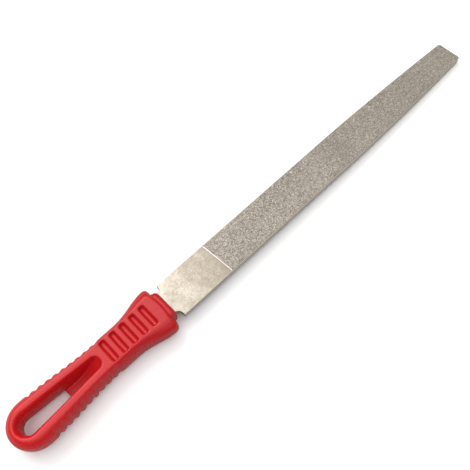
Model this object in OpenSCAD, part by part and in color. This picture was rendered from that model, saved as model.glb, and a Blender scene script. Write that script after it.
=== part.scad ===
// Flat diamond-coated hand rasp on a one-piece moulded handle.
//
// +X runs along the tool from the butt of the handle to the tip of the blade, +Y across the
// blade and +Z out of its top working face. The origin is the middle of the tool's box, on the
// mid-plane of the blade, which is also the handle's parting plane.

/* [Blade] */
// Length of the blade from its shoulders to the tip
blade_len = 254; // [220:1:290]
// Width of the blade before it tapers
blade_w = 24; // [21:0.5:28]
// Width of the square-cut tip
tip_w = 17.2; // [14:0.1:20]
// Thickness of the blade over both coats
blade_t = 5; // [4:0.1:6]
// Distance from the shoulders at which the edges begin to curve in
taper_from = 140; // [100:1:170]

/* [Coat] */
// Thickness of the plated diamond coat on each face
coat_t = 0.3; // [0.2:0.05:0.5]
// Length of the bare plated heel in front of the shoulders
heel_len = 35.5; // [25:0.5:45]
// Bare margin between the coat and the edge of the blade
coat_margin = 0.5; // [0.3:0.1:1.5]
// Width of the raised stop line where the coat ends
line_w = 0.9; // [0.6:0.1:1.5]
// How far the stop line is out of square over half the blade's width
line_skew = 0.8; // [0:0.1:1.5]

/* [Tang] */
// Width of the tang where it leaves the shoulders
tang_w = 13.4; // [11:0.1:15]
// Width of the tang at its end
tang_end_w = 5; // [3:0.5:8]
// Length of the tang behind the shoulders
tang_len = 40; // [30:1:42]
// Radius of the hollow fillets between the shoulders and the tang
shoulder_r = 4; // [2:0.5:4.5]

/* [Handle] */
// Distance from the shoulders back to the butt of the handle
handle_end = 108; // [105:0.5:112]
// Thickness of the handle
handle_t = 16; // [14:0.5:18]
// Width across the flared front
flare_w = 30; // [27:0.2:32]
// Width at the waist
waist_w = 21; // [20:0.2:23]
// Width at the butt
butt_w = 27.2; // [25:0.2:30]
// Width of the collar that the blade enters
collar_w = 19; // [17:0.2:19.6]
// Thickness of the collar
collar_t = 13; // [12:0.5:15]

/* [Grip] */
// Number of ribs along each side
rib_count = 9; // [5:1:10]
// Distance from one rib to the next
rib_pitch = 4.6; // [4:0.1:4.8]
// Depth of the grooves between the ribs
rib_depth = 1.3; // [0.4:0.1:1.5]
// Number of grip pockets in each face
pocket_count = 5; // [3:1:5]
// Distance from one pocket to the next
pocket_pitch = 6.85; // [6:0.05:7]
// Length of a pocket, across the handle
pocket_len = 14.2; // [12:0.1:14.6]
// Width of a pocket, along the handle
pocket_w = 4; // [3.6:0.1:4.4]
// Depth of a pocket
pocket_deep = 2.6; // [1.5:0.1:3]

/* [Hanging slot] */
// Radius of the slot's narrow front end at the parting plane
slot_front_r = 3; // [2.6:0.1:3.4]
// Radius of the slot's wide rear end at the parting plane
slot_rear_r = 5; // [4:0.1:5.6]
// How far the slot's wall rounds back from the parting plane to each face, at the rear end
slot_crown = 2.4; // [1.2:0.1:2.6]
// Length of the scooped floor at the front of the slot, in front of the open hole
scoop_len = 25.5; // [18:0.5:28]
// Depth of the scooped floor where it meets the open hole
scoop_deep = 13.3; // [10:0.1:14]

/* [Hidden] */

steel_color = [0.80, 0.75, 0.67];
coat_color = [0.63, 0.60, 0.56];
line_color = [0.93, 0.90, 0.83];
plastic_color = [0.78, 0.06, 0.09];

// The shoulders' place along X, which centres the whole tool on the origin
shoulder_x = (handle_end - blade_len) / 2;

steel_t = blade_t - 2 * coat_t;
line_proud = 0.06;
taper_power = 1.6;
taper_steps = 14;
fillet_steps = 8;
tip_corner = 0.8;

// Places along the handle, as distances behind the shoulders
collar_front = 2.5;
body_front = 6;
shoulder_round = 2.4;
flare_at = body_front + shoulder_round;
waist_at = 34;
ribs_from = 46;
butt_round = 14;
butt_at = handle_end - butt_round;
socket_spare = 1.5;
pocket_from = 15.4;
slot_front = 52.7;
slot_rear = 95.8;
front_crown = 0.5;
scoop_power = 2.1;
flare_power = 1.2;

// The handle's flat top lies this far inside its widest outline: waist, flare and butt
side_lean = 3;
flare_lean = 5.8;
butt_lean = 4;
front_lean = 2;
collar_lean = 2.2;
collar_round = 2.6;

// The moulded sides: [height over the parting plane, share of the lean, share of the rib depth]
side_profile = [[0, 0, 1], [0.3, 0.04, 1], [0.5, 0.1, 1], [0.7, 0.36, 0.7], [0.88, 0.68, 0.1], [1, 1, 0]];
slot_profile = [[0, 0, 0], [0.5, -0.12, 0], [0.72, -0.32, 0], [0.87, -0.6, 0], [0.96, -0.87, 0],
                [1, -1.05, 0], [1.1, -1.6, 0]];
collar_profile = [[0, 0, 0], [0.6, 0.1, 0], [0.85, 0.4, 0], [1, 1, 0]];

// ---------------------------------------------------------------- outlines

// Half the blade's width at a distance in front of the shoulders
function blade_half(x) =
    blade_w / 2 - (blade_w - tip_w) / 2 * pow(max(0, x - taper_from) / (blade_len - taper_from), taper_power);

// One edge of the blade from its shoulder to the tip, moved in by a margin
function blade_edge(from, to, margin) = concat(
    [[from, blade_half(from) - margin]],
    [for (i = [0 : taper_steps]) let (x = taper_from + (to - taper_from) * i / taper_steps)
        [x, blade_half(x) - margin]]
);

function mirrored(points) = [for (i = [len(points) - 1 : -1 : 0]) [points[i].x, -points[i].y]];

// One shoulder: a hollow fillet from the blade's square heel down to the tang
shoulder = [for (i = [0 : fillet_steps]) let (turn = 90 * i / fillet_steps)
    [-shoulder_r + shoulder_r * sin(turn), tang_w / 2 + shoulder_r - shoulder_r * cos(turn)]];

blade_side = concat(
    [[-tang_len, tang_end_w / 2]],
    shoulder,
    [[0, blade_w / 2]],
    blade_edge(1, blade_len - tip_corner, 0),
    [[blade_len, tip_w / 2 - tip_corner]]
);

// Half the handle's widest outline at a distance behind the shoulders
function flare_share(x) =
    x > waist_at ? 0 : pow((1 + cos(180 * (x - flare_at) / (waist_at - flare_at))) / 2, flare_power);
function butt_share(x) = x < ribs_from ? 0 : (1 - cos(180 * (x - ribs_from) / (butt_at - ribs_from))) / 2;
function handle_half(x) =
    (waist_w + (flare_w - waist_w) * flare_share(x) + (butt_w - waist_w) * butt_share(x)) / 2;
function lean(x) =
    side_lean + (flare_lean - side_lean) * flare_share(x) + (butt_lean - side_lean) * butt_share(x);

// Depth of the rib grooves: sharp valleys a pitch apart, with round ribs between them
function groove(x) =
    x < ribs_from || x > ribs_from + rib_count * rib_pitch ? 0
    : rib_depth * (1 - abs(sin(180 * (x - ribs_from) / rib_pitch)));

// Loop points are [x, y, lean in x, lean in y, groove]
body_side = concat(
    [for (share = [0 : 0.25 : 0.75])
        [-body_front, share * (flare_w / 2 - shoulder_round),
         front_lean * (1 + share * share) / 2, flare_lean * share, 0]],
    [for (turn = [0 : 22.5 : 67.5])
        [-flare_at + shoulder_round * cos(turn), flare_w / 2 - shoulder_round * (1 - sin(turn)),
         front_lean, flare_lean * (0.88 + 0.12 * sin(turn)), 0]],
    [[-flare_at, handle_half(flare_at), front_lean / 2, lean(flare_at), 0]],
    [for (x = [flare_at + 3 : 3 : waist_at]) [-x, handle_half(x), 0, lean(x), 0]],
    [for (x = [waist_at + 5 : 5 : ribs_from - 1]) [-x, handle_half(x), 0, lean(x), 0]],
    [for (i = [0 : 4 * rib_count]) let (x = ribs_from + i * rib_pitch / 4)
        [-x, handle_half(x), 0, lean(x), groove(x)]],
    [for (x = [ribs_from + (rib_count + 0.4) * rib_pitch : 2 : butt_at - 1])
        [-x, handle_half(x), 0, lean(x), 0]],
    [for (turn = [0 : 9 : 90])
        [-butt_at - butt_round * sin(turn), butt_w / 2 * cos(turn),
         -butt_lean * sin(turn), butt_lean * cos(turn), 0]]
);

// Closes a loop that starts on one side of the X axis by mirroring it to the other side
function closed(side) = concat(
    side,
    [for (i = [len(side) - 1 : -1 : 0]) let (p = side[i]) if (p.y > 0.001) [p.x, -p.y, p[2], -p[3], p[4]]]
);

// A rounded rectangle whose corners all lean out from its middle by the same amount
function round_rect(length, width, r, grow) = [
    for (corner = [0 : 3], step = [0 : 3])
        let (turn = 90 * corner + 30 * step,
             sx = corner == 0 || corner == 3 ? 1 : -1, sy = corner < 2 ? 1 : -1)
        [sx * (length / 2 - r) + r * cos(turn), sy * (width / 2 - r) + r * sin(turn), sx * grow, sy * grow, 0]
];

// An arc of the slot, whose points lean out from its middle by the crown there
function slot_arc(middle, r, crown, turns) = [for (turn = turns)
    [-middle + r * cos(turn), r * sin(turn), crown * cos(turn), crown * sin(turn), 0]];

// The slot is a teardrop: a wide rear arc and a narrow front arc joined by straight sides
slot_loop = concat(
    slot_arc(slot_front, slot_front_r, front_crown * slot_crown, [-90 : 18 : 90]),
    slot_arc(slot_rear, slot_rear_r, slot_crown, [90 : 15 : 270])
);

// ---------------------------------------------------------------- solids from loops

// Levels for a solid with the same profile above and below the parting plane
function both_faces(profile, half_t) = concat(
    [for (i = [len(profile) - 1 : -1 : 1]) [-profile[i][0] * half_t, profile[i][1], profile[i][2]]],
    [for (step = profile) [step[0] * half_t, step[1], step[2]]]
);

// A closed solid through a loop at each level, leaned and grooved by the level's own shares
module stacked(loop, levels) {
    count = len(loop);
    top = len(levels) - 1;
    points = [for (level = levels, p = loop)
        [p.x - level[1] * p[2], p.y - level[1] * p[3] - level[2] * p[4] * sign(p.y), level[0]]];
    sides = [for (k = [0 : top - 1], i = [0 : count - 1])
        let (a = k * count + i, b = k * count + (i + 1) % count)
        each [[a, a + count, b + count], [a, b + count, b]]];
    lid = [for (i = [count - 1 : -1 : 0]) top * count + i];
    base = [for (i = [0 : count - 1]) i];
    polyhedron(points, concat([base], sides, [lid]), convexity = 6);
}

// ---------------------------------------------------------------- cutters

// The slot is open at the rear and has a floor at the front that curves up to the top face.
// Its wall is rounded over into both faces, and is narrowest at the parting plane.
module hanging_slot() {
    difference() {
        stacked(slot_loop, both_faces(slot_profile, handle_t / 2));
        scoop_floor();
    }
}

// The block left standing under the front of the slot, drawn as its side view
module scoop_floor() {
    front = slot_front - slot_front_r - slot_crown;
    floor_z = handle_t / 2 - scoop_deep;
    steps = 10;
    curve = [for (i = [0 : steps]) let (share = i / steps)
        [-front - scoop_len * (1 - share), floor_z + (scoop_deep + 1.5) * pow(share, scoop_power)]];
    rotate([90, 0, 0])
        linear_extrude(height = 4 * slot_rear_r, center = true)
            polygon(concat([[-front, -handle_t]], [[-front - scoop_len, -handle_t]], curve));
}

// A pocket with leaning walls, sunk into the top face
module pocket() {
    half_t = handle_t / 2;
    wall_lean = 1;
    floor_r = 0.8;
    stacked(round_rect(pocket_w - 2 * wall_lean, pocket_len - 2 * wall_lean, floor_r, wall_lean),
        [[half_t - pocket_deep, 0, 0], [half_t, -1, 0], [half_t + 0.5, -1.3, 0]]);
}

module pocket_row() {
    for (i = [0 : pocket_count - 1])
        translate([-pocket_from - i * pocket_pitch, 0, 0]) pocket();
}

// The socket that the tang is driven into, a little deeper than the tang is long
module tang_socket() {
    end = [[-tang_len - socket_spare, tang_end_w / 2], [-tang_len, tang_end_w / 2]];
    half = concat(end, shoulder, [[0, blade_w / 2]]);
    linear_extrude(height = steel_t, center = true) polygon(concat(half, mirrored(half)));
}

// ---------------------------------------------------------------- pieces

// Steel blank: working length, shoulders and tang in one stamping
module blade() {
    color(steel_color) translate([shoulder_x, 0, 0])
        linear_extrude(height = steel_t, center = true)
            polygon(concat(blade_side, mirrored(blade_side)));
}

// The plated ridge left at the edge of the mask, drawn in the plane of the blade
module stop_line() {
    linear_extrude(height = coat_t + line_proud)
        polygon([
            [heel_len - line_skew, blade_w / 2 - coat_margin],
            [heel_len + line_skew, -blade_w / 2 + coat_margin],
            [heel_len + line_skew + line_w, -blade_w / 2 + coat_margin],
            [heel_len - line_skew + line_w, blade_w / 2 - coat_margin]
        ]);
}

// The diamond coat, from the stop line to just short of the tip
module coat() {
    upper = blade_edge(heel_len - line_skew + line_w, blade_len - coat_margin, coat_margin);
    lower = blade_edge(heel_len + line_skew + line_w, blade_len - coat_margin, coat_margin);
    linear_extrude(height = coat_t) polygon(concat(upper, mirrored(lower)));
}

module top_coat() {
    color(coat_color) translate([shoulder_x, 0, steel_t / 2]) coat();
}

module bottom_coat() {
    color(coat_color) translate([shoulder_x, 0, -steel_t / 2]) mirror([0, 0, 1]) coat();
}

module top_stop_line() {
    color(line_color) translate([shoulder_x, 0, steel_t / 2]) stop_line();
}

module bottom_stop_line() {
    color(line_color) translate([shoulder_x, 0, -steel_t / 2]) mirror([0, 0, 1]) stop_line();
}

// The collar that stands out in front of the handle and closes round the tang
module collar() {
    length = 10;
    translate([-collar_front - length / 2, 0, 0])
        stacked(round_rect(length, collar_w, collar_round, collar_lean),
            both_faces(collar_profile, collar_t / 2));
}

// One moulding: flared front, collar, ribbed sides, grip pockets and the hanging slot
module handle() {
    color(plastic_color) translate([shoulder_x, 0, 0])
        difference() {
            union() {
                stacked(closed(body_side), both_faces(side_profile, handle_t / 2));
                collar();
            }
            tang_socket();
            hanging_slot();
            pocket_row();
            mirror([0, 0, 1]) pocket_row();
        }
}

blade();
top_coat();
bottom_coat();
top_stop_line();
bottom_stop_line();
handle();
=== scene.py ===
import math

import bmesh
import bpy
from mathutils import Euler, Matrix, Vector, noise


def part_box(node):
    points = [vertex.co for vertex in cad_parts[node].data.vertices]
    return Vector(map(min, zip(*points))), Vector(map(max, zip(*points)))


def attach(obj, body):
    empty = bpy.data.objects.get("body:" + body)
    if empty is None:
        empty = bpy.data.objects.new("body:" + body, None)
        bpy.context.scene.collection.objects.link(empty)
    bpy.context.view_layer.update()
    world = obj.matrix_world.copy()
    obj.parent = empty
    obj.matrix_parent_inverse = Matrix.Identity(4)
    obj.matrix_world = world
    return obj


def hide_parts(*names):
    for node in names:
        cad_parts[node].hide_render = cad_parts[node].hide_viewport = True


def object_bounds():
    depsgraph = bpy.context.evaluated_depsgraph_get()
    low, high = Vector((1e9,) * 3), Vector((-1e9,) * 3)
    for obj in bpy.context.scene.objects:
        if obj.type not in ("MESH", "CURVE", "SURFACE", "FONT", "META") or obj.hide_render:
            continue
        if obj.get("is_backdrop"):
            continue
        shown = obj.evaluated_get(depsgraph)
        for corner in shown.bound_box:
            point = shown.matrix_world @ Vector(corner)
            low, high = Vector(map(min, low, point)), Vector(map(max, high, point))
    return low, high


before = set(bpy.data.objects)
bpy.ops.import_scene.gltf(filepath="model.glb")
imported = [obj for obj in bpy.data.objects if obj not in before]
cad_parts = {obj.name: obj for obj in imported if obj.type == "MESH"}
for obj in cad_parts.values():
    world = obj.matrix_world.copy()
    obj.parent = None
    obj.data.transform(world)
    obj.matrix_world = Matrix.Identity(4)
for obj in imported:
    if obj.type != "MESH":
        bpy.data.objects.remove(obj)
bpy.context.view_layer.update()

# ---------------------------------------------------------------- blade
# The blank is one steel stamping with square shoulders and a tang, ground flat and nickel
# plated all over. Only the heel and the thin margins beside the grit show bare plate.


def merged_copy(node, name):
    """A new piece with the CAD node's shape, its loose triangles joined into one skin."""
    shape = bmesh.new()
    shape.from_mesh(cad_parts[node].data)
    bmesh.ops.remove_doubles(shape, verts=shape.verts, dist=1e-6)
    bmesh.ops.dissolve_limit(shape, angle_limit=math.radians(0.5), verts=shape.verts, edges=shape.edges)
    return new_piece(shape, name)


def new_piece(shape, name):
    """Turns a finished bmesh into an object that sits at the origin."""
    mesh = bpy.data.meshes.new(name)
    shape.to_mesh(mesh)
    shape.free()
    piece = bpy.data.objects.new(name, mesh)
    bpy.context.scene.collection.objects.link(piece)
    return piece


def add_piece(piece, slot, material, *nodes):
    """Fixes a piece to the tool, in place of the CAD nodes that it stands for."""
    piece.data.materials.clear()
    piece.data.materials.append(material)
    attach(piece, "root")
    if nodes:
        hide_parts(*nodes)


class Finish:
    """A surface finish built from shader nodes on the piece's own Object coordinates.

    Its first colour and roughness are plain ones, which the patterns joined on later replace.
    """

    def __init__(self, name, color, roughness, metallic=0.0):
        self.material = bpy.data.materials.new(name)
        self.material.use_nodes = True
        self.tree = self.material.node_tree
        self.shader = self.tree.nodes["Principled BSDF"]
        self.shader.inputs["Base Color"].default_value = (*color, 1)
        self.shader.inputs["Roughness"].default_value = roughness
        self.shader.inputs["Metallic"].default_value = metallic
        self.place = self.tree.nodes.new("ShaderNodeTexCoord").outputs["Object"]

    def join(self, out, into):
        self.tree.links.new(out, into)

    def stretched(self, x, y, z):
        """Object coordinates stretched along each axis, for a pattern with a direction."""
        mapping = self.tree.nodes.new("ShaderNodeMapping")
        mapping.inputs["Scale"].default_value = (x, y, z)
        self.join(self.place, mapping.inputs["Vector"])
        return mapping.outputs["Vector"]

    def noise(self, scale, detail=2.0, rough=0.5, vector=None):
        node = self.tree.nodes.new("ShaderNodeTexNoise")
        node.inputs["Scale"].default_value = scale
        node.inputs["Detail"].default_value = detail
        node.inputs["Roughness"].default_value = rough
        self.join(vector or self.place, node.inputs["Vector"])
        return node.outputs["Fac"]

    def specks(self, scale, vector=None):
        """Cells with a random value each, as the facets and grains of a rough surface have."""
        node = self.tree.nodes.new("ShaderNodeTexVoronoi")
        node.inputs["Scale"].default_value = scale
        self.join(vector or self.place, node.inputs["Vector"])
        split = self.tree.nodes.new("ShaderNodeSeparateColor")
        self.join(node.outputs["Color"], split.inputs["Color"])
        return split.outputs["Red"]

    def span(self, value, low, high, to_low, to_high):
        """Maps a value from one range to another and clamps it there."""
        node = self.tree.nodes.new("ShaderNodeMapRange")
        limits = {"From Min": low, "From Max": high, "To Min": to_low, "To Max": to_high}
        for socket, number in limits.items():
            node.inputs[socket].default_value = number
        self.join(value, node.inputs["Value"])
        return node.outputs["Result"]

    def math(self, operation, a, b):
        node = self.tree.nodes.new("ShaderNodeMath")
        node.operation = operation
        self.join(a, node.inputs[0])
        if isinstance(b, (int, float)):
            node.inputs[1].default_value = b
        else:
            self.join(b, node.inputs[1])
        return node.outputs["Value"]

    def blend(self, share, first, second):
        """Mixes two colours, each a tuple or a socket, by a share from 0 to 1."""
        node = self.tree.nodes.new("ShaderNodeMix")
        node.data_type = "RGBA"
        self.join(share, node.inputs["Factor"])
        for color, socket in ((first, node.inputs[6]), (second, node.inputs[7])):
            if isinstance(color, tuple):
                socket.default_value = (*color, 1)
            else:
                self.join(color, socket)
        return node.outputs[2]

    def color(self, out):
        self.join(out, self.shader.inputs["Base Color"])

    def roughness(self, out):
        self.join(out, self.shader.inputs["Roughness"])

    def axis(self, letter):
        """One Object coordinate by itself."""
        split = self.tree.nodes.new("ShaderNodeSeparateXYZ")
        self.join(self.place, split.inputs["Vector"])
        return split.outputs[letter]

    def upright(self):
        """1 where a surface faces straight up or down, and 0 where it stands on edge."""
        geometry = self.tree.nodes.new("ShaderNodeNewGeometry")
        split = self.tree.nodes.new("ShaderNodeSeparateXYZ")
        self.join(geometry.outputs["True Normal"], split.inputs["Vector"])
        return self.math("ABSOLUTE", split.outputs["Z"], 0)

    def bump(self, height, strength, depth, below=None):
        node = self.tree.nodes.new("ShaderNodeBump")
        node.inputs["Strength"].default_value = strength
        node.inputs["Distance"].default_value = depth
        self.join(height, node.inputs["Height"])
        if below:
            self.join(below, node.inputs["Normal"])
        self.join(node.outputs["Normal"], self.shader.inputs["Normal"])
        return node.outputs["Normal"]

    def edge_highlight_mask(self, low, high):
        """1 on the sharp outer edges of a piece and 0 on its flats and hollows, for a painted edge
        highlight.
        """
        geometry = self.tree.nodes.new("ShaderNodeNewGeometry")
        return self.span(geometry.outputs["Pointiness"], low, high, 0, 1)


shoulder_gap = 0.0025
heel_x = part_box("handle")[1].x + shoulder_gap
stop_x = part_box("top_stop_line")[0].x
plate = Finish("nickel_plate", (0.70, 0.62, 0.50), 0.42, metallic=1.0)
cloud = plate.noise(130, 4, 0.65)
grind = plate.noise(1.0, 3, 0.6, plate.stretched(900, 5200, 900))
grains = plate.specks(1300)
# Painted reflection: the bare plate is painted lighter beside the handle and darker towards the stop
# line, and stays at the darker end beyond it.
along = plate.span(plate.axis("X"), heel_x, stop_x, 0.13, 0.92)
blotch = plate.noise(1150, 3, 0.65)
# The random mottle is the plate's own tone. The fade along the blade that is added to it is painted
# reflection.
mottle_and_painted_reflection = plate.math("ADD", plate.span(cloud, 0.3, 0.7, -0.27, 0.27), along)
mottle_and_painted_reflection = plate.math("ADD", plate.span(blotch, 0.35, 0.65, -0.3, 0.3), mottle_and_painted_reflection)
tone = plate.blend(plate.span(mottle_and_painted_reflection, 0, 1, 0, 1), (0.51, 0.461, 0.387), (0.303, 0.262, 0.209))
tone = plate.blend(plate.span(grains, 0.5, 1.0, 0, 0.4), tone, (0.312, 0.267, 0.213))
steep = plate.upright()
# Painted highlight: the rounded arris, which leans between flat and upright, is painted pale as if it
# caught the light.
painted_arris_highlight = plate.span(steep, 0.99, 0.94, 0, 1)
tone = plate.blend(painted_arris_highlight, tone, (0.74, 0.69, 0.61))
# Painted light: where the plate stands on edge, the blade's sides get their own lighter tone, which
# stands in for the light that falls on them.
plate.color(plate.blend(plate.span(steep, 0.2, 0.5, 0, 1), (0.66, 0.585, 0.50), tone))
plate.roughness(plate.span(cloud, 0.3, 0.7, 0.34, 0.50))
dimples = plate.bump(plate.noise(1400, 3, 0.6), 0.5, 0.00012)
plate.bump(grind, 0.25, 0.00005, dimples)

blade = merged_copy("blade", "plated_blade")
arris = blade.modifiers.new("arris", "BEVEL")
arris.width = 0.00035
arris.segments = 3
arris.limit_method = "ANGLE"
arris.angle_limit = math.radians(30)
add_piece(blade, "plated_steel", plate.material, "blade")

# ---------------------------------------------------------------- diamond coats
# Each working face is masked at the heel, strewn with coarse diamond grit and plated until
# the nickel grips the grains. The coat is a rough skin with a ragged edge, a hair proud.
steel_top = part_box("blade")[1].z
coat_low, coat_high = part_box("top_coat")
tip_x, coat_half, coat_top = coat_high
mask_skew = 0.0016
coat_from = (coat_low.x, coat_low.x + mask_skew)
tip_width, bare_margin = 0.0172, 0.0005
tip_half = tip_width / 2 - bare_margin
straight_length = 0.140
taper_x = heel_x + straight_length
taper_power = 1.6


def half_width(x):
    """The coat's half width, which holds along the blade and then curves in to the tip."""
    share = max(0.0, x - taper_x) / (tip_x - taper_x)
    return coat_half - (coat_half - tip_half) * share ** taper_power


def start_x(side):
    """Where the coat begins, across a stop line that was masked slightly out of square."""
    return coat_from[0] + (coat_from[1] - coat_from[0]) * (1 - side) / 2


def closed_below(shape, depth):
    """Drops the rim of an open sheet to a depth, closes it there and turns it outwards."""
    rim = [edge for edge in shape.edges if edge.is_boundary]
    skirt = bmesh.ops.extrude_edge_only(shape, edges=rim)["geom"]
    for corner in (item for item in skirt if isinstance(item, bmesh.types.BMVert)):
        corner.co.z = depth
    bmesh.ops.holes_fill(shape, edges=[edge for edge in shape.edges if edge.is_boundary], sides=0)
    bmesh.ops.recalc_face_normals(shape, faces=shape.faces)


def mirrored_below(shape):
    """Mirrors a top face's shape to the bottom face, and turns its faces outwards again."""
    bmesh.ops.scale(shape, verts=shape.verts, vec=(1, 1, -1))
    bmesh.ops.reverse_faces(shape, faces=shape.faces)


rim_ragged, rim_drop, lump_height = 0.00022, 0.00012, 0.00006
coat_faces = (("top", 3.1, False), ("bottom", 41.7, True))


def coat_sheet(seed, skirt):
    """A lumpy sheet over the top coat's outline, with a ragged rim a little lower than its middle."""
    shape = bmesh.new()
    bmesh.ops.create_grid(shape, x_segments=520, y_segments=56, size=1)
    shift = Vector((seed, 7.3, 1.9))
    for corner in shape.verts:
        along, side = (corner.co.x + 1) / 2, corner.co.y
        x = start_x(side) + (tip_x - start_x(side)) * along
        y = half_width(x) * side
        spot = Vector((x, y, 0)) * 1000
        rim = max(abs(side), abs(corner.co.x)) > 0.999
        ragged = rim_ragged * abs(noise.noise(spot * 1.1 + shift)) if rim else 0
        lump = noise.noise(spot * 1.7 + shift) + 0.6 * noise.noise(spot * 0.5 + shift)
        z = coat_top + lump_height * lump - (rim_drop if rim else 0)
        corner.co = (x, y - math.copysign(ragged, side), z)
    if skirt:
        closed_below(shape, steel_top - 0.00002)
    return shape


coat = Finish("diamond_coat", (0.42, 0.38, 0.32), 0.5, metallic=0.55)
fine = coat.specks(2100)
coarse = coat.specks(1150)
# The coat is palest beside the stop line and darkens over the next 110 mm.
fade = coat.span(coat.axis("X"), stop_x, stop_x + 0.11, 0.14, -0.11)
drift = coat.math("ADD", coat.noise(35, 3, 0.6), fade)
tone = coat.blend(coat.span(drift, 0.3, 0.7, 0, 1), (0.33, 0.294, 0.251), (0.45, 0.401, 0.344))
tone = coat.blend(coat.span(coarse, 0.45, 1.0, 0, 0.75), tone, (0.205, 0.178, 0.147))
tone = coat.blend(coat.span(fine, 0.82, 1.0, 0, 0.7), tone, (0.78, 0.724, 0.64))
coat.color(tone)
coat.roughness(coat.span(coarse, 0, 1, 0.38, 0.62))
coat.bump(coat.math("ADD", fine, coat.math("MULTIPLY", coarse, 1.2)), 0.7, 0.0002)

for face, seed, below in coat_faces:
    sheet = coat_sheet(seed, skirt=True)
    if below:
        mirrored_below(sheet)
    piece = new_piece(sheet, "grit_bed_" + face)
    add_piece(piece, "diamond_coat", coat.material, face + "_coat")

# ---------------------------------------------------------------- grit
# Single diamond grains, about a third of a millimetre across, stand out of the nickel at
# every angle. They are strewn over each coat and catch the light one by one.
crystal = Finish("grit_crystals", (0.46, 0.42, 0.36), 0.3, metallic=0.5)
grain_tone_and_glint = crystal.specks(1700)
hue = crystal.blend(crystal.span(grain_tone_and_glint, 0.3, 0.9, 0, 1), (0.257, 0.222, 0.182), (0.512, 0.463, 0.397))
# Painted glint: the brightest few grains are painted near white, as if they caught the light. The rest
# differ in tone at random.
crystal.color(crystal.blend(crystal.span(grain_tone_and_glint, 0.93, 1.0, 0, 1), hue, (0.92, 0.87, 0.78)))
crystal.roughness(crystal.span(crystal.noise(2600), 0.3, 0.7, 0.18, 0.5))
crystal.bump(crystal.noise(5200), 0.3, 0.00005)


grains_per_square_metre = 3.1e6
grain_size = (0.00034, 0.00030, 0.00027)
sunk_in = 0.00003


def strewn(bed, seed):
    """Geometry nodes that strew one small crystal over a bed at random angles and sizes."""
    tree = bpy.data.node_groups.new("strewn_grit", "GeometryNodeTree")
    tree.interface.new_socket(name="Geometry", in_out="INPUT", socket_type="NodeSocketGeometry")
    tree.interface.new_socket(name="Geometry", in_out="OUTPUT", socket_type="NodeSocketGeometry")
    start, end = tree.nodes.new("NodeGroupInput"), tree.nodes.new("NodeGroupOutput")
    scatter = tree.nodes.new("GeometryNodeDistributePointsOnFaces")
    scatter.inputs["Density"].default_value = grains_per_square_metre
    scatter.inputs["Seed"].default_value = seed
    grain = tree.nodes.new("GeometryNodeMeshCube")
    grain.inputs["Size"].default_value = grain_size
    turn = tree.nodes.new("FunctionNodeRandomValue")
    turn.data_type = "FLOAT_VECTOR"
    turn.inputs["Max"].default_value = (math.tau, math.tau, math.tau)
    turn.inputs["Seed"].default_value = seed + 1
    size = tree.nodes.new("FunctionNodeRandomValue")
    size.data_type = "FLOAT_VECTOR"
    size.inputs["Min"].default_value = (0.55, 0.55, 0.55)
    size.inputs["Max"].default_value = (1.25, 1.25, 1.25)
    size.inputs["Seed"].default_value = seed + 2
    plant = tree.nodes.new("GeometryNodeInstanceOnPoints")
    real = tree.nodes.new("GeometryNodeRealizeInstances")
    for out, into in (
        (start.outputs[0], scatter.inputs["Mesh"]),
        (scatter.outputs["Points"], plant.inputs["Points"]),
        (grain.outputs["Mesh"], plant.inputs["Instance"]),
        (turn.outputs["Value"], plant.inputs["Rotation"]),
        (size.outputs["Value"], plant.inputs["Scale"]),
        (plant.outputs["Instances"], real.inputs["Geometry"]),
        (real.outputs["Geometry"], end.inputs[0]),
    ):
        tree.links.new(out, into)
    spread = bed.modifiers.new("grit", "NODES")
    spread.node_group = tree


def settle(piece):
    """Makes a piece's modifiers part of its mesh."""
    seen = piece.evaluated_get(bpy.context.evaluated_depsgraph_get())
    mesh = bpy.data.meshes.new_from_object(seen)
    piece.modifiers.clear()
    piece.data = mesh


for face, seed, below in coat_faces:
    bed = coat_sheet(seed, skirt=False)
    bmesh.ops.translate(bed, verts=bed.verts, vec=(0, 0, -sunk_in))
    if below:
        mirrored_below(bed)
    piece = new_piece(bed, "grit_grains_" + face)
    strewn(piece, int(seed))
    settle(piece)
    add_piece(piece, "diamond_coat", crystal.material)

# ---------------------------------------------------------------- stop lines
# Nickel builds up in a bright ridge against the edge of the plating mask, where the current
# crowds. The ridge is rounded, and wanders a little where the tape was cut by hand.
bright = Finish("bright_nickel", (0.86, 0.80, 0.70), 0.42, metallic=0.6)
patch = bright.noise(330, 3, 0.6)
bright.color(bright.blend(bright.span(patch, 0.35, 0.65, 0, 1), (0.66, 0.60, 0.515), (0.92, 0.87, 0.79)))
bright.roughness(bright.span(patch, 0.3, 0.7, 0.34, 0.52))
bright.bump(bright.noise(2400, 2), 0.5, 0.0001)

ridge_back, wander = 0.00042, 0.00016
ridge_half, swell = 0.00047, 0.00014

for face, seed, below in (("top", 5.0, False), ("bottom", 17.0, True)):
    low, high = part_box(face + "_stop_line")
    ridge = bmesh.new()
    bmesh.ops.create_grid(ridge, x_segments=8, y_segments=90, size=1)
    for corner in ridge.verts:
        across, side = corner.co.x, corner.co.y
        y = side * (high.y - 0.0001)
        middle = start_x(side) - ridge_back + wander * noise.noise(Vector((y * 700, seed, 0)))
        half = ridge_half + swell * noise.noise(Vector((y * 1500, seed, 4)))
        crown = math.sqrt(max(0, 1 - across * across)) * (1 - side ** 24)
        corner.co = (middle + half * across, y, steel_top + (max(high.z, -low.z) - steel_top) * crown)
    closed_below(ridge, steel_top - 0.00003)
    if below:
        mirrored_below(ridge)
    piece = new_piece(ridge, "stop_ridge_" + face)
    piece.data.polygons.foreach_set("use_smooth", [True] * len(piece.data.polygons))
    add_piece(piece, "bright_nickel", bright.material, face + "_stop_line")

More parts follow.
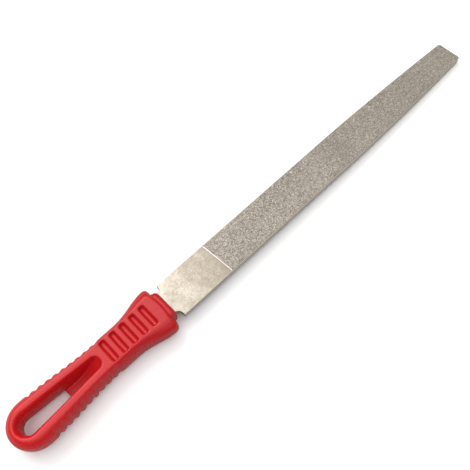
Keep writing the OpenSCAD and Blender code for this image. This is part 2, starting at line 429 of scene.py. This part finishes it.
# ---------------------------------------------------------------- handle
# The handle is one injection moulding in red plastic, with every edge rounded off by the mould.
# It is pushed onto the tang by force and held there by friction.
plastic = Finish("red_plastic", (0.55, 0.008, 0.018), 0.36)
flow = plastic.noise(28, 3, 0.55)
peel = plastic.noise(1300, 2, 0.5)
scuff = plastic.noise(1.0, 3, 0.7, plastic.stretched(260, 1900, 1900))
edge = plastic.edge_highlight_mask(0.54, 0.62)
# The red is a little brighter towards the butt.
packed = plastic.span(plastic.axis("X"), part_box("handle")[0].x, heel_x, 0.9, 0.1)
packed = plastic.math("ADD", packed, plastic.span(flow, 0.35, 0.65, -0.1, 0.1))
tone = plastic.blend(packed, (0.455, 0.008, 0.011), (0.60, 0.010, 0.013))
# Painted highlight: a paler pink is painted along the handle's sharp edges, where highlights fall.
tone = plastic.blend(plastic.math("MULTIPLY", edge, 0.35), tone, (0.78, 0.10, 0.11))
plastic.color(tone)
marks = plastic.math("ADD", plastic.math("MULTIPLY", scuff, 0.6), peel)
plastic.roughness(plastic.span(marks, 0.6, 1.0, 0.25, 0.36))
skin_bump = plastic.bump(peel, 0.05, 0.00004)
plastic.bump(scuff, 0.04, 0.00003, skin_bump)
plastic.shader.inputs["Specular IOR Level"].default_value = 0.4
plastic.shader.inputs["Subsurface Weight"].default_value = 0.15
plastic.shader.inputs["Subsurface Radius"].default_value = (1.0, 0.12, 0.1)
plastic.shader.inputs["Subsurface Scale"].default_value = 0.0015

handle = merged_copy("handle", "moulded_handle")
skin = handle.modifiers.new("skin", "REMESH")
skin.mode = "VOXEL"
skin.voxel_size = 0.00037
settle(handle)
radii = handle.modifiers.new("mould_radii", "SMOOTH")
radii.iterations = 9
settle(handle)
handle.data.polygons.foreach_set("use_smooth", [True] * len(handle.data.polygons))
add_piece(handle, "red_plastic", plastic.material, "handle")

# ---------------------------------------------------------------- table
# The tool lies on a white table. It rests on the front of the handle's underside and on the
# grit at the blade's tip, so the table is tipped by the small angle between those two. Its paper
# looks white, but lights the tool as mid grey paper would, which keeps the tool's sides dark.
handle_low, handle_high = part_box("handle")
front_round = 0.0058
rest_x = handle_high.x - front_round
grains_below = bpy.data.objects["grit_grains_bottom"].data.vertices
tip_grit = [corner.co for corner in grains_below if corner.co.x > tip_x - 0.02]
slope = min(math.atan2(grain.z - handle_low.z, grain.x - rest_x) for grain in tip_grit)
table = bmesh.new()
bmesh.ops.create_grid(table, x_segments=1, y_segments=1, size=3.0)
bmesh.ops.rotate(table, verts=table.verts, matrix=Euler((0, -slope, 0)).to_matrix())
bmesh.ops.translate(table, verts=table.verts, vec=(rest_x, 0, handle_low.z))
table_top = new_piece(table, "table")
paper = Finish("white_paper", (0.95, 0.95, 0.95), 0.9)
paper.color(paper.blend(paper.noise(30, 3), (0.98, 0.98, 0.98), (1.0, 1.0, 1.0)))
grey = paper.tree.nodes.new("ShaderNodeBsdfDiffuse")
grey.inputs["Color"].default_value = (0.5, 0.5, 0.5, 1)
seen = paper.tree.nodes.new("ShaderNodeLightPath")
either = paper.tree.nodes.new("ShaderNodeMixShader")
paper.join(seen.outputs["Is Camera Ray"], either.inputs["Fac"])
paper.join(grey.outputs["BSDF"], either.inputs[1])
paper.join(paper.shader.outputs["BSDF"], either.inputs[2])
paper.join(either.outputs["Shader"], paper.tree.nodes["Material Output"].inputs["Surface"])
table_top.data.materials.append(paper.material)
table_top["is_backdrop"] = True

# ---------------------------------------------------------------- light
# Soft light from overhead that fades to dark near the horizon, and one softbox beyond the
# blade's left side. The backdrop itself is seen as plain white.
world = bpy.data.worlds.new("studio")
bpy.context.scene.world = world
world.use_nodes = True
sky = world.node_tree
heading = sky.nodes.new("ShaderNodeTexCoord")
height = sky.nodes.new("ShaderNodeSeparateXYZ")
glow = sky.nodes.new("ShaderNodeMapRange")
for socket, number in zip(("From Min", "From Max", "To Min", "To Max"), (0.3, 0.95, 0.12, 1.75)):
    glow.inputs[socket].default_value = number
sky.links.new(heading.outputs["Generated"], height.inputs["Vector"])
sky.links.new(height.outputs["Z"], glow.inputs["Value"])
seen = sky.nodes.new("ShaderNodeLightPath")
backdrop = sky.nodes.new("ShaderNodeMix")
backdrop.inputs["B"].default_value = 1.0
sky.links.new(seen.outputs["Is Camera Ray"], backdrop.inputs["Factor"])
sky.links.new(glow.outputs["Result"], backdrop.inputs["A"])
sky.links.new(backdrop.outputs["Result"], sky.nodes["Background"].inputs["Strength"])
sky.nodes["Background"].inputs["Color"].default_value = (1, 1, 1, 1)


def softbox(name, place, aim, width, power):
    light = bpy.data.lights.new(name, "AREA")
    light.shape = "SQUARE"
    light.size = width
    light.energy = power
    lamp = bpy.data.objects.new(name, light)
    lamp.location = place
    lamp.rotation_euler = (Vector(aim) - Vector(place)).to_track_quat("-Z", "Y").to_euler()
    bpy.context.scene.collection.objects.link(lamp)


softbox("key_softbox", (-0.08, 0.95, 0.96), (0, 0, 0), 0.9, 7.4)

# ---------------------------------------------------------------- camera
# A close view through a fairly long lens, from above the handle's right side.
view = bpy.data.cameras.new("camera")
view.sensor_width = 36
view.lens = 45.9345
view.clip_start = 0.01
camera = bpy.data.objects.new("camera", view)
camera.location = (-0.1215, -0.1139, 0.3161)
camera.rotation_euler = [math.radians(a) for a in (26.294, 1.642, -44.344)]
bpy.context.scene.collection.objects.link(camera)
bpy.context.scene.camera = camera
bpy.context.scene.view_settings.view_transform = "Standard"

low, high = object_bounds()
